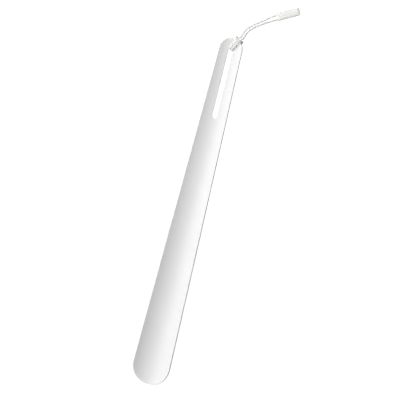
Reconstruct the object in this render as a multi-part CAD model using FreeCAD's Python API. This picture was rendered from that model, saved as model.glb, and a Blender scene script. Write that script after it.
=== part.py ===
import FreeCAD, Part
import math
import os

# Long shoehorn: one pressed steel blade with a grip slot, and one cord that is
# hitched round the blade's top rim, with both its ends in a moulded sleeve.
#
# Millimetres, +Z up. The blade stands along Z with its tip down and its hollow
# face towards -Y. The origin is on the hollow face, at the centre of the round
# top end of the slot, which is also the centre of the blade's round top end.

V = FreeCAD.Vector

# ---- blade -------------------------------------------------------------
LENGTH = 420.0          # over both round ends
TIP_R = 23.5            # tip's round end, on the flat blank
TOP_R = 14.1            # top's round end, on the flat blank
SHEET = 1.5             # sheet with its coating
HOLLOW_R = 45.0         # radius that the blank is bent to, on the hollow face
EDGE_R = 0.4            # rounding of the coated edges
SLOT_W = 6.0            # grip slot
SLOT_CC = 80.0          # between the centres of its round ends

# ---- cord --------------------------------------------------------------
CORD_D = 2.4
HITCH_DEG = 62.0        # where the hitch sits on the rim, from +X towards +Z
HITCH_TILT = 7.5        # slope of the blade there, about Z
FRONT_N = 2.1           # cord centre in front of the hitch plane
BACK_N = -3.7           # cord centre behind it
BAR_N = 4.95            # the bight, over the two outgoing strands
PIVOT_Z = 20.5          # where the loop starts to bend freely
PIVOT_X = (9.8, 13.29)  # its two strands there
PIVOT_GAP = 0.7        # between the hitch and the rounded ends of the strands
LOOP_Y = -3.3           # the loop lies in the plane of this Y

# ---- sleeve ------------------------------------------------------------
SLEEVE_L = 27.0
SLEEVE_W = 9.2
SLEEVE_T = 5.4
SLEEVE_DEG = 27.74       # its direction, from +X towards +Z
MOUTH = (45.38, 49.52)   # X and Z of the middle of its mouth
STRAND_OFF = 2.4        # each strand from the sleeve's middle

os.makedirs("parts", exist_ok=True)


def out(name, shape):
    if not shape.isValid() or len(shape.Solids) < 1:
        raise RuntimeError(name + " is not a valid solid")
    shape.exportStep("parts/" + name + ".step")
    b = shape.BoundBox
    print("%-20s %9.1f mm3  x %.2f..%.2f  y %.2f..%.2f  z %.2f..%.2f" % (
        name, shape.Volume, b.XMin, b.XMax, b.YMin, b.YMax, b.ZMin, b.ZMax))


# ---- blade -------------------------------------------------------------
MID_R = HOLLOW_R + SHEET / 2
TIP_Z = TOP_R - LENGTH + TIP_R          # centre of the tip's round end
SIDE = math.asin((TIP_R - TOP_R) / -TIP_Z)


def wrapped(u, z, r):
    """A point of the flat blank, bent to the radius r about the blade's axis."""
    a = u / MID_R
    return V(r * math.sin(a), -HOLLOW_R + r * math.cos(a), z)


def arc_points(cz, r, a0, a1, n):
    return [(r * math.cos(a0 + (a1 - a0) * i / n), cz + r * math.sin(a0 + (a1 - a0) * i / n)) for i in range(n + 1)]


def line_points(p, q, n):
    return [(p[0] + (q[0] - p[0]) * i / n, p[1] + (q[1] - p[1]) * i / n) for i in range(n + 1)]


top = arc_points(0.0, TOP_R, SIDE, math.pi - SIDE, 28)
tip = arc_points(TIP_Z, TIP_R, math.pi - SIDE, 2 * math.pi + SIDE, 36)
outline = [top, line_points(top[-1], tip[0], 12), tip, line_points(tip[-1], top[0], 12)]


def curve(points, r):
    c = Part.BSplineCurve()
    c.interpolate([wrapped(u, z, r) for u, z in points])
    return c.toShape()


walls = [Part.makeRuledSurface(curve(p, HOLLOW_R - 2), curve(p, HOLLOW_R + SHEET + 2)) for p in outline]
height = LENGTH + 20
foot = V(0, -HOLLOW_R, TOP_R - LENGTH - 10)
sheet = Part.makeCylinder(HOLLOW_R + SHEET, height, foot, V(0, 0, 1), 100)
sheet = sheet.cut(Part.makeCylinder(HOLLOW_R, height + 2, foot - V(0, 0, 1), V(0, 0, 1), 360))
sheet.rotate(V(0, -HOLLOW_R, 0), V(0, 0, 1), 40)
cut, _ = sheet.generalFuse([Part.Shell([f for w in walls for f in w.Faces])])
inside = V(0, SHEET / 2, -150)
blade = [s for s in cut.Solids if s.isInside(inside, 1e-3, False)][0]
slot = Part.makeCylinder(SLOT_W / 2, 20, V(0, -10, 0), V(0, 1, 0))
slot = slot.fuse(Part.makeCylinder(SLOT_W / 2, 20, V(0, -10, -SLOT_CC), V(0, 1, 0)))
slot = slot.fuse(Part.makeBox(SLOT_W, 20, SLOT_CC, V(-SLOT_W / 2, -10, -SLOT_CC)))
blade = blade.cut(slot).Solids[0]
print("blade before its edges are rounded", round(blade.Volume, 1), blade.isValid())


def on_a_face(e):
    """Whether an edge runs along the hollow face or the back, and isn't a corner line across the sheet."""
    m = e.valueAt((e.FirstParameter + e.LastParameter) / 2)
    r = math.hypot(m.x, m.y + HOLLOW_R)
    return min(abs(r - HOLLOW_R), abs(r - HOLLOW_R - SHEET)) < 0.05


edges = [e for e in blade.Edges if on_a_face(e) and e.Length > SHEET * 1.2]
rounded = blade.makeFillet(EDGE_R, edges)
if rounded.isValid() and len(rounded.Solids) == 1 and 0.97 * blade.Volume < rounded.Volume < blade.Volume:
    blade = rounded.Solids[0]
    print("edges rounded", round(blade.Volume, 1))
else:
    print("edges left square")
out("blade", blade)

# ---- cord --------------------------------------------------------------
t = math.radians(HITCH_TILT)
AX = V(math.cos(t), -math.sin(t), 0)     # across the blade, in the hitch's plane
AN = V(-math.sin(t), -math.cos(t), 0)    # out of the hollow face
h = math.radians(HITCH_DEG)


def flat(x, z, n):
    """x across, z up and n out of the hitch's plane."""
    return AX * x + V(0, 0, z) + AN * n


def rim(s, w, n):
    """s out from the origin along the hitch, w across it (clockwise from the front), n out of its plane."""
    return flat(s * math.cos(h) + w * math.sin(h), s * math.sin(h) - w * math.cos(h), n)


def rounded_path(points, name):
    """Straight runs joined by tangent arcs, each as large as its two runs allow."""
    edges, at, radii = [], points[0], []
    for i in range(1, len(points) - 1):
        p, a, b = points[i], points[i - 1], points[i + 1]
        da, db = (a - p), (b - p)
        la, lb = da.Length, db.Length
        da, db = da / la, db / lb
        turn = math.pi - da.getAngle(db)
        cutback = 0.45 * min(la, lb)
        r = cutback / math.tan(turn / 2)
        radii.append(r)
        s, e = p + da * cutback, p + db * cutback
        half = (da + db).normalize()
        m = p + half * (r / math.cos(turn / 2) - r)
        edges.append(Part.LineSegment(at, s).toShape())
        edges.append(Part.Arc(s, m, e).toShape())
        at = e
    edges.append(Part.LineSegment(at, points[-1]).toShape())
    wire = Part.Wire(edges)
    print("%-14s length %.1f mm, radii %s" % (name, wire.Length, " ".join("%.1f" % r for r in radii)))
    return wire


def tube(points, name, d=CORD_D):
    wire = rounded_path(points, name)
    start = (points[1] - points[0]).normalize()
    ring = Part.Wire(Part.makeCircle(d / 2, points[0], start))
    solid = wire.makePipeShell([ring], True, True)
    if not isinstance(solid, Part.Solid):
        solid = Part.Solid(solid) if isinstance(solid, Part.Shell) else solid.Solids[0]
    want = math.pi * d * d / 4 * wire.Length
    print("%-14s volume %.1f, section times length %.1f" % (name, solid.Volume, want))
    return solid


END_Z = PIVOT_Z - CORD_D / 2 - PIVOT_GAP
left_in = [V(PIVOT_X[0], LOOP_Y, END_Z), flat(9.0, 17.3, FRONT_N + 0.1), rim(16.5, -1.45, FRONT_N), rim(11.5, -1.3, FRONT_N),
           rim(6.4, -1.22, FRONT_N + 0.05), rim(0.3, -1.27, FRONT_N)]
right_in = [V(PIVOT_X[1], LOOP_Y, END_Z), flat(12.5, 16.3, FRONT_N), rim(16.4, 1.5, FRONT_N),
            rim(8.4, 1.22, FRONT_N + 0.05), rim(0.3, 1.27, FRONT_N)]
round_back = [rim(0.3, -1.27, BACK_N), rim(8.4, -2.5, BACK_N - 0.05), rim(16.1, -4.5, BACK_N),
              rim(14.4, -4.5, BAR_N)]
hitch = left_in + round_back + [rim(14.4, 4.5, BAR_N), rim(16.1, 4.5, BACK_N), rim(8.4, 2.5, BACK_N - 0.05),
                                rim(0.3, 1.27, BACK_N)] + right_in[::-1]
out("cord_hitch", tube(hitch, "hitch"))

d = math.radians(SLEEVE_DEG)
DX, DZ = math.cos(d), math.sin(d)
up = (MOUTH[0] - STRAND_OFF * DZ, MOUTH[1] + STRAND_OFF * DX)
low = (MOUTH[0] + STRAND_OFF * DZ, MOUTH[1] - STRAND_OFF * DX)
upper = [(PIVOT_X[0], PIVOT_Z), (10.07, 22.44), (12.69, 27.28), (17.2, 32.2), (23, 36.51),
         (29.69, 41.49), (35.58, 46.48), (up[0] - 4.6 * DX, up[1] - 4.6 * DZ), up]
lower = [(PIVOT_X[1], PIVOT_Z), (13.56, 22.09), (16.07, 26.54), (20.68, 31.16), (26.67, 35.56),
         (33.06, 39.66), (38.44, 42.86), (low[0] - 4.2 * DX, low[1] - 4.2 * DZ), low]
for name, route in (("cord_strand_upper", upper), ("cord_strand_lower", lower)):
    points = [V(x, LOOP_Y, z) for x, z in route]
    strand = tube(points, name)
    ball = Part.makeSphere(CORD_D / 2, points[0])
    strand = strand.fuse(ball).removeSplitter()
    out(name, strand.Solids[0])

# ---- sleeve ------------------------------------------------------------
half = (SLEEVE_W - SLEEVE_T) / 2
r = SLEEVE_T / 2
ring = [
    Part.LineSegment(V(-half, -r, 0), V(half, -r, 0)).toShape(),
    Part.Arc(V(half, -r, 0), V(half + r, 0, 0), V(half, r, 0)).toShape(),
    Part.LineSegment(V(half, r, 0), V(-half, r, 0)).toShape(),
    Part.Arc(V(-half, r, 0), V(-half - r, 0, 0), V(-half, -r, 0)).toShape(),
]
sleeve = Part.Face(Part.Wire(ring)).extrude(V(0, 0, SLEEVE_L))
far = [e for e in sleeve.Edges if abs(e.BoundBox.ZMin - SLEEVE_L) < 1e-6 and abs(e.BoundBox.ZMax - SLEEVE_L) < 1e-6]
near = [e for e in sleeve.Edges if abs(e.BoundBox.ZMin) < 1e-6 and abs(e.BoundBox.ZMax) < 1e-6]
sleeve = sleeve.makeFillet(2.2, far)
near = [e for e in sleeve.Edges if abs(e.BoundBox.ZMin) < 1e-6 and abs(e.BoundBox.ZMax) < 1e-6]
sleeve = sleeve.makeFillet(0.5, near)
# the sleeve's own axes: x across its width, y through its thickness, z along it
along = V(DX, 0, DZ)
across = V(-DZ, 0, DX)
through = along.cross(across)
place = V(MOUTH[0], LOOP_Y, MOUTH[1])
m = FreeCAD.Matrix(across.x, through.x, along.x, place.x,
                   across.y, through.y, along.y, place.y,
                   across.z, through.z, along.z, place.z,
                   0, 0, 0, 1)
sleeve.transformShape(m)
out("end_sleeve", sleeve.Solids[0] if sleeve.Solids else sleeve)

print("pivot of the loop", [round(x, 3) for x in (sum(PIVOT_X) / 2, LOOP_Y, PIVOT_Z)])
print("axis of the hitch", [round(x, 4) for x in AN * -1])
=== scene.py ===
import math
import bmesh
import bpy
from mathutils import Matrix, Vector


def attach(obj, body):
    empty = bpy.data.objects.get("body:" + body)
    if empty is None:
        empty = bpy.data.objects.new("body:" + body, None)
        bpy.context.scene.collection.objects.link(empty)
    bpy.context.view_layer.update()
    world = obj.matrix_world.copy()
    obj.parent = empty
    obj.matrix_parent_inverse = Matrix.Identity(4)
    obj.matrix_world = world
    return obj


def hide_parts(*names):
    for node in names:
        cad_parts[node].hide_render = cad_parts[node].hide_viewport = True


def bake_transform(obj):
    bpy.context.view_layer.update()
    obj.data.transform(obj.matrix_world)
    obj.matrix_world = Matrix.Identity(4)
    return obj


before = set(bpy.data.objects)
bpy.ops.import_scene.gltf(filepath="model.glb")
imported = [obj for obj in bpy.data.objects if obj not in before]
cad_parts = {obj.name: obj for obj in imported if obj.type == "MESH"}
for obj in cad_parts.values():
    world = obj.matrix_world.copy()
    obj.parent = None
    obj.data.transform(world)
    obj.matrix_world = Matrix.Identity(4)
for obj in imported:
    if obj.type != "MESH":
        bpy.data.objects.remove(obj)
MM = 0.001
sin, cos, pi = math.sin, math.cos, math.pi


def made(name, verts, faces, uvs=None):
    mesh = bpy.data.meshes.new(name)
    mesh.from_pydata(verts, [], faces)
    mesh.validate()
    mesh.polygons.foreach_set("use_smooth", [True] * len(mesh.polygons))
    if uvs:
        layer = mesh.uv_layers.new(name="UVMap")
        for poly in mesh.polygons:
            for k, loop in enumerate(poly.loop_indices):
                layer.data[loop].uv = uvs[poly.index][k]
    obj = bpy.data.objects.new(name, mesh)
    bpy.context.scene.collection.objects.link(obj)
    return obj


# ---------------------------------------------------------------- materials
def shader(name, color, rough, coat=0.0):
    mat = bpy.data.materials.new(name)
    mat.use_nodes = True
    tree = mat.node_tree
    b = tree.nodes["Principled BSDF"]
    b.inputs["Base Color"].default_value = (*color, 1)
    b.inputs["Roughness"].default_value = rough
    b.inputs["Coat Weight"].default_value = coat
    return mat, tree, b


def node(tree, kind, inputs=(), **props):
    n = tree.nodes.new(kind)
    for k, v in props.items():
        setattr(n, k, v)
    for k, v in dict(inputs).items():
        if isinstance(v, bpy.types.NodeSocket):
            tree.links.new(v, n.inputs[k])
        else:
            n.inputs[k].default_value = v
    return n


def noise(tree, co, scale, detail=3.0, rough=0.5):
    return node(tree, "ShaderNodeTexNoise", {"Vector": co, "Scale": scale, "Detail": detail, "Roughness": rough}).outputs["Fac"]


def spread(tree, value, low, high, lo_in=0.3, hi_in=0.7):
    return node(tree, "ShaderNodeMapRange", {"Value": value, "From Min": lo_in, "From Max": hi_in,
                                             "To Min": low, "To Max": high}).outputs["Result"]


def two_tone(tree, fac, a, b):
    ramp = node(tree, "ShaderNodeValToRGB", {"Fac": fac})
    ramp.color_ramp.elements[0].position, ramp.color_ramp.elements[1].position = 0.3, 0.7
    ramp.color_ramp.elements[0].color, ramp.color_ramp.elements[1].color = (*a, 1), (*b, 1)
    return ramp.outputs["Color"]


def math_node(tree, op, a, b=0.0):
    return node(tree, "ShaderNodeMath", {0: a, 1: b}, operation=op).outputs[0]


# powder coat: fine orange peel, a finer grain, and a little drift in tone and gloss
coat, t, b = shader("coated_steel", (0.84, 0.84, 0.838), 0.42)
co = node(t, "ShaderNodeTexCoord").outputs["Object"]
peel = noise(t, co, 700.0, 2.0)
grain = noise(t, co, 4200.0, 3.0, 0.6)
t.links.new(two_tone(t, noise(t, co, 26.0, 4.0), (0.832, 0.832, 0.829), (0.848, 0.848, 0.847)), b.inputs["Base Color"])
t.links.new(spread(t, noise(t, co, 60.0, 5.0, 0.6), 0.37, 0.46), b.inputs["Roughness"])
height = math_node(t, "ADD", peel, math_node(t, "MULTIPLY", grain, 0.35))
bump = node(t, "ShaderNodeBump", {"Height": height, "Strength": 0.35, "Distance": 0.00003})
t.links.new(bump.outputs["Normal"], b.inputs["Normal"])

# braided cord: the crossings follow the mesh's own U (length) and V (around)
BRAID_PITCH, BRAID_N = 3.2, 5
rope, t, b = shader("cord", (0.84, 0.835, 0.815), 0.82)
b.inputs["Sheen Weight"].default_value = 0.25
b.inputs["Subsurface Weight"].default_value = 0.6
b.inputs["Subsurface Scale"].default_value = 1.0
b.inputs["Subsurface Radius"].default_value = (0.003, 0.0029, 0.0027)
uv = node(t, "ShaderNodeSeparateXYZ", {0: node(t, "ShaderNodeTexCoord").outputs["UV"]})
along, around = uv.outputs[0], uv.outputs[1]
turns = math_node(t, "MULTIPLY", around, 2 * pi * BRAID_N)
travel = math_node(t, "MULTIPLY", along, 2 * pi / (BRAID_PITCH * MM))
right = math_node(t, "SINE", math_node(t, "ADD", travel, turns))
left = math_node(t, "SINE", math_node(t, "SUBTRACT", travel, turns))
weave = math_node(t, "MAXIMUM", right, left)
yarn = node(t, "ShaderNodeCombineXYZ", {0: math_node(t, "MULTIPLY", along, 2500.0),
                                        1: math_node(t, "MULTIPLY", around, 60.0)}).outputs[0]
fibre = noise(t, yarn, 4.0, 3.0, 0.65)
# painted shade: the cord colour is darker where the weave is low, in the braid's grooves, plus a random fibre tone
groove_shade_and_fibre_tone = math_node(t, "ADD", spread(t, weave, 0.12, 0.6, -0.2, 1.0), math_node(t, "MULTIPLY", fibre, 0.4))
t.links.new(two_tone(t, groove_shade_and_fibre_tone, (0.74, 0.735, 0.715), (0.85, 0.845, 0.83)), b.inputs["Base Color"])
bump = node(t, "ShaderNodeBump", {"Height": math_node(t, "ADD", weave, math_node(t, "MULTIPLY", fibre, 0.5)),
                                  "Strength": 0.4, "Distance": 0.00006})
t.links.new(bump.outputs["Normal"], b.inputs["Normal"])

# moulded elastomer: matt, with a fine spark-eroded texture
rubber, t, b = shader("sleeve", (0.80, 0.795, 0.775), 0.55)
b.inputs["Subsurface Weight"].default_value = 0.6
b.inputs["Subsurface Scale"].default_value = 1.0
b.inputs["Subsurface Radius"].default_value = (0.005, 0.0048, 0.0044)
co = node(t, "ShaderNodeTexCoord").outputs["Object"]
t.links.new(two_tone(t, noise(t, co, 180.0, 4.0), (0.785, 0.78, 0.758), (0.812, 0.808, 0.79)), b.inputs["Base Color"])
t.links.new(spread(t, noise(t, co, 400.0, 4.0), 0.48, 0.62), b.inputs["Roughness"])
bump = node(t, "ShaderNodeBump", {"Height": noise(t, co, 3500.0, 3.0, 0.6), "Strength": 0.3, "Distance": 0.00003})
t.links.new(bump.outputs["Normal"], b.inputs["Normal"])

# ---------------------------------------------------------------- blade
R_MID, SHEET = 45.75, 1.5
TOP_R, TIP_R, TIP_Z, SLOT_R, SLOT_Z = 14.1, 23.5, -382.4, 3.0, -80.0
PHI = math.asin((TIP_R - TOP_R) / -TIP_Z)
TOP_HALF = TOP_R / cos(PHI)
K, SIDE, WIDE, DROP = 10, 6, 24, 14.0
verts, faces, index = [], [], {}


def half(z):
    return TOP_HALF + (TIP_R - TOP_HALF) * z / TIP_Z


def vert(u, z):
    key = (round(u, 3), round(z, 3))
    if key not in index:
        index[key] = len(verts)
        verts.append((R_MID * sin(u / R_MID) * MM, (R_MID * cos(u / R_MID) - 45.0) * MM, z * MM))
    return index[key]


def patch(f, ns, nt):
    for i in range(ns):
        for j in range(nt):
            faces.append([vert(*f(a / ns, c / nt)) for a, c in ((i, j), (i + 1, j), (i + 1, j + 1), (i, j + 1))])


def top(s, q):
    th = pi * q
    r = SLOT_R + (TOP_R / cos(max(0.0, PHI - min(th, pi - th))) - SLOT_R) * s
    return r * cos(th), r * sin(th)


def under_slot(s, q):
    n = 2 * SIDE + WIDE
    j = round(q * n)
    th = pi + pi * q
    u0, z0 = SLOT_R * cos(th), SLOT_Z + SLOT_R * sin(th)
    low = SLOT_Z - DROP
    if j <= SIDE:
        z1 = SLOT_Z - DROP * j / SIDE
        u1 = -half(z1)
    elif j <= SIDE + WIDE:
        z1, u1 = low, half(low) * (2 * (j - SIDE) / WIDE - 1)
    else:
        z1 = low + DROP * (j - SIDE - WIDE) / SIDE
        u1 = half(z1)
    return u0 + (u1 - u0) * s, z0 + (z1 - z0) * s


def tip(s, q):
    w = 2 * s - 1
    return TIP_R * w * math.sqrt(1 - q * q / 2), TIP_Z - TIP_R * q * math.sqrt(1 - w * w / 2)


patch(top, K, 48)
for sign in (-1, 1):
    patch(lambda s, q: (sign * (SLOT_R + (half(SLOT_Z * q) - SLOT_R) * s), SLOT_Z * q), K, 24)
patch(under_slot, K, 2 * SIDE + WIDE)
LOW = SLOT_Z - DROP
patch(lambda s, q: (half(LOW + (TIP_Z - LOW) * q) * (2 * s - 1), LOW + (TIP_Z - LOW) * q), WIDE, 80)
patch(tip, WIDE, 14)
blade = made("blade_sheet", verts, faces)
bm = bmesh.new()
bm.from_mesh(blade.data)
bmesh.ops.recalc_face_normals(bm, faces=bm.faces)
bm.to_mesh(blade.data)
bm.free()
m = blade.modifiers.new("sheet", "SOLIDIFY")
m.thickness, m.offset, m.use_even_offset = SHEET * MM, 0.0, True
m = blade.modifiers.new("edges", "BEVEL")
m.width, m.segments, m.limit_method, m.angle_limit = 0.4 * MM, 3, "ANGLE", math.radians(50)
m = blade.modifiers.new("normals", "WEIGHTED_NORMAL")
m.weight = 100
blade.data.materials.append(coat)
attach(blade, "blade")
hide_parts("blade")

# ---------------------------------------------------------------- cord
CORD_D, LOOP_Y, MOUTH, TURN, OFF = 2.4, -3.3, (45.38, 49.52), math.radians(27.74), 2.4
T, H = math.radians(7.5), math.radians(62.0)


def flat(x, z, n):
    return Vector((x * cos(T) - n * sin(T), -x * sin(T) - n * cos(T), z))


def rim(s, w, n):
    return flat(s * cos(H) + w * sin(H), s * sin(H) - w * cos(H), n)


def loop(x, z):
    return Vector((x, LOOP_Y, z))


D = Vector((cos(TURN), 0, sin(TURN)))
ACROSS = Vector((-sin(TURN), 0, cos(TURN)))
mouth = loop(*MOUTH)
up, low = mouth + ACROSS * OFF, mouth - ACROSS * OFF
F, B, BAR = 1.75, -3.1, 4.25
route = [up + D * 14, up, up - D * 4.6] + [loop(*p) for p in (
    (35.58, 46.48), (29.69, 41.49), (23, 36.51), (17.2, 32.2), (12.69, 27.28), (10.07, 22.44), (9.8, 20.5))] + [
    flat(9.55, 17.6, F + 0.4), rim(16.5, -1.6, F), rim(11.5, -1.6, F), rim(6.4, -1.5, F), rim(0.3, -1.3, F + 0.15),
    rim(0.3, -1.27, B), rim(8.4, -2.5, B), rim(16.1, -4.5, B), rim(14.4, -4.5, BAR),
    rim(14.4, 4.5, BAR), rim(16.1, 4.5, B), rim(8.4, 2.5, B), rim(0.3, 1.27, B),
    rim(0.3, 1.3, F + 0.15), rim(8.4, 1.55, F), rim(16.4, 1.65, F), flat(12.5, 16.3, F + 0.1)] + [loop(*p) for p in (
    (13.29, 20.5), (13.56, 22.09), (16.07, 26.54), (20.68, 31.16), (26.67, 35.56), (33.06, 39.66), (38.44, 42.86))] + [
    low - D * 4.2, low, low + D * 14]
curve = bpy.data.curves.new("cord_line", "CURVE")
curve.dimensions = "3D"
spline = curve.splines.new("NURBS")
spline.points.add(len(route) - 1)
for p, q in zip(spline.points, route):
    p.co = (*(q * MM), 1)
spline.order_u = 3
spline.use_endpoint_u = True
spline.resolution_u = 40
line_obj = bpy.data.objects.new("cord_line", curve)
bpy.context.scene.collection.objects.link(line_obj)
bpy.context.view_layer.update()
line_mesh = bpy.data.meshes.new_from_object(line_obj.evaluated_get(bpy.context.evaluated_depsgraph_get()))
line = [v.co.copy() for v in line_mesh.vertices]
bpy.data.objects.remove(line_obj)
bpy.data.meshes.remove(line_mesh)

STEP, RING = 0.22 * MM, 30
reach = [0.0]
for p, q in zip(line, line[1:]):
    reach.append(reach[-1] + (q - p).length)
LENGTH = reach[-1]
count = int(LENGTH / STEP)
path, k = [], 0
for i in range(count + 1):
    d = LENGTH * i / count
    while k < len(reach) - 2 and reach[k + 1] < d:
        k += 1
    f = (d - reach[k]) / max(reach[k + 1] - reach[k], 1e-12)
    path.append(line[k].lerp(line[k + 1], min(max(f, 0.0), 1.0)))
for _ in range(3):
    path = [path[0]] + [(a + 2 * c + e) / 4 for a, c, e in zip(path, path[1:], path[2:])] + [path[-1]]
verts, faces, uvs = [], [], []
tangent = (path[1] - path[0]).normalized()
side = tangent.cross(Vector((0, 1, 0))).normalized()
for i, p in enumerate(path):
    new = (path[min(i + 1, count)] - path[max(i - 1, 0)]).normalized()
    side.rotate(tangent.rotation_difference(new))
    tangent = new
    side = (side - tangent * side.dot(tangent)).normalized()
    other = tangent.cross(side)
    d = LENGTH * i / count
    thick = 1.0 + 0.1 * min(max((0.0175 - p.z) / 0.003, 0.0), 1.0)   # a little fuller where it is hitched
    for j in range(RING):
        a = 2 * pi * j / RING
        w = max(sin(2 * pi * d / (BRAID_PITCH * MM) + BRAID_N * a), sin(2 * pi * d / (BRAID_PITCH * MM) - BRAID_N * a))
        r = CORD_D / 2 * MM * (0.97 + 0.035 * w) * thick
        verts.append(p + side * (r * cos(a)) + other * (r * sin(a)))
for i in range(count):
    for j in range(RING):
        n = (j + 1) % RING
        faces.append((i * RING + j, i * RING + n, (i + 1) * RING + n, (i + 1) * RING + j))
        u0, u1, v0, v1 = LENGTH * i / count, LENGTH * (i + 1) / count, j / RING, (j + 1) / RING
        uvs.append(((u0, v0), (u0, v1), (u1, v1), (u1, v0)))
for start, flip in ((0, True), (count * RING, False)):
    hub = len(verts)
    verts.append(path[0] if start == 0 else path[-1])
    for j in range(RING):
        n = (j + 1) % RING
        faces.append((start + n, start + j, hub) if flip else (start + j, start + n, hub))
        uvs.append(((0, 0), (0, 0), (0, 0)))
cord = made("cord_loop_line", verts, faces, uvs)
cord.data.materials.append(rope)

# ---------------------------------------------------------------- end sleeve
LONG, WIDTH, THICK, SIDES = 27.0, 9.2, 5.4, 24
through = D.cross(ACROSS)


def ring(t, inset):
    r, c = THICK / 2 - inset, WIDTH / 2 - THICK / 2
    out = []
    for lobe in (0, 1):
        for j in range(SIDES):
            a = -pi / 2 + pi * j / (SIDES - 1) + pi * lobe
            x, y = (c if lobe == 0 else -c) + r * cos(a), r * sin(a)
            out.append((mouth + D * t + ACROSS * x + through * y) * MM)
    return out


profile = [(1.6, 0.62), (0.5, 0.6), (0.2, 0.55), (0.05, 0.42), (0.0, 0.3), (0.05, 0.17), (0.2, 0.05), (0.5, 0.0)]
profile += [(t, 0.0) for t in (3, 6, 9, 12, 15, 18, 21, 24.0)]
profile += [(LONG - 2.2 + 2.2 * sin(a), 2.2 - 2.2 * cos(a)) for a in [pi / 2 * j / 8 for j in range(9)]]
verts, faces = [], []
for t_, inset in profile:
    verts += ring(t_, inset)
N = 2 * SIDES
for i in range(len(profile) - 1):
    for j in range(N):
        faces.append((i * N + j, i * N + (j + 1) % N, (i + 1) * N + (j + 1) % N, (i + 1) * N + j))
for base, flip in ((0, True), ((len(profile) - 1) * N, False)):
    cap = [(base + o + j, base + o + j + 1, base + o + SIDES - 2 - j, base + o + SIDES - 1 - j)
           for o in (0, SIDES) for j in range(SIDES // 2 - 1)]
    cap.append((base, base + SIDES - 1, base + SIDES, base + N - 1))
    faces += [c[::-1] if flip else c for c in cap]
sleeve = made("end_sleeve_moulded", verts, faces)
bm = bmesh.new()
bm.from_mesh(sleeve.data)
bmesh.ops.recalc_face_normals(bm, faces=bm.faces)
bm.to_mesh(sleeve.data)
bm.free()
sleeve.data.materials.append(rubber)
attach(sleeve, "cord_loop")
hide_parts("end_sleeve")

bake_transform(cord)
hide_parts("cord_hitch", "cord_strand_upper", "cord_strand_lower")
print("cord length", round(LENGTH * 1000, 1), "mm")

# ---------------------------------------------------------------- floor, light, camera
bpy.ops.mesh.primitive_circle_add(vertices=96, radius=6, fill_type="NGON", location=(0, 0, -0.4062))
floor = bpy.context.object
floor.name = "floor"
mat = bpy.data.materials.new("floor")
mat.use_nodes = True
t = mat.node_tree
b = t.nodes["Principled BSDF"]
b.inputs["Base Color"].default_value = (0.5, 0.5, 0.5, 1)
b.inputs["Roughness"].default_value = 1.0
b.inputs["Specular IOR Level"].default_value = 0.0
b.inputs["Emission Color"].default_value = (1, 1, 1, 1)
seen = node(t, "ShaderNodeLightPath").outputs["Is Camera Ray"]
t.links.new(math_node(t, "MULTIPLY", seen, 0.76), b.inputs["Emission Strength"])
floor.data.materials.append(mat)

world = bpy.data.worlds.new("studio")
bpy.context.scene.world = world
world.use_nodes = True
t = world.node_tree
t.nodes.clear()
back = node(t, "ShaderNodeBackground")
back.inputs["Color"].default_value = (1, 1, 1, 1)
seen = node(t, "ShaderNodeLightPath").outputs["Is Camera Ray"]
t.links.new(node(t, "ShaderNodeMapRange", {"Value": seen, "To Min": 0.13, "To Max": 1.1}).outputs["Result"], back.inputs["Strength"])
t.links.new(back.outputs[0], node(t, "ShaderNodeOutputWorld").inputs["Surface"])



def sun(name, towards, energy, angle, shadow=True):
    light = bpy.data.lights.new(name, "SUN")
    light.energy, light.angle, light.use_shadow = energy, math.radians(angle), shadow
    lamp = bpy.data.objects.new(name, light)
    lamp.rotation_euler = Vector(towards).to_track_quat("Z", "Y").to_euler()
    bpy.context.scene.collection.objects.link(lamp)
    return lamp


sun("key", (-0.616, -0.788, 0.28), 1.6, 40)
sun("key_fill", (-0.616, -0.788, 0.28), 1.4, 30, shadow=False)
sun("back_fill", (-0.5, 0.83, 0.25), 2.0, 60, shadow=False)
for o, towards, energy in ((cord, (0.75, -0.55, -0.2), 0.6), (sleeve, (0.85, -0.3, -0.2), 1.6)):
    bounce = sun(o.name + "_bounce", towards, energy, 60, shadow=False)
    lit = bpy.data.collections.new(o.name + "_lit")
    lit.objects.link(o)
    bounce.light_linking.receiver_collection = lit

AZ, EL, ROLL, DIST = math.radians(12), math.radians(2), math.radians(13.96), 3.0
target = Vector((0.00751, 0.00005, -0.18004))
back_axis = Vector((sin(AZ) * cos(EL), -cos(AZ) * cos(EL), sin(EL)))
right0 = Vector((cos(AZ), sin(AZ), 0))
up0 = back_axis.cross(right0)
right_axis = right0 * cos(ROLL) + up0 * sin(ROLL)
up_axis = up0 * cos(ROLL) - right0 * sin(ROLL)
cam = bpy.data.cameras.new("camera")
cam.sensor_fit, cam.sensor_width = "AUTO", 36.0
cam.lens = 36.0 * DIST / 0.4702
cam.clip_end = 50
camera = bpy.data.objects.new("camera", cam)
camera.matrix_world = Matrix.Translation(target + back_axis * DIST) @ Matrix((right_axis, up_axis, back_axis)).transposed().to_4x4()
bpy.context.scene.collection.objects.link(camera)
bpy.context.scene.camera = camera
bpy.context.scene.view_settings.view_transform = "Standard"
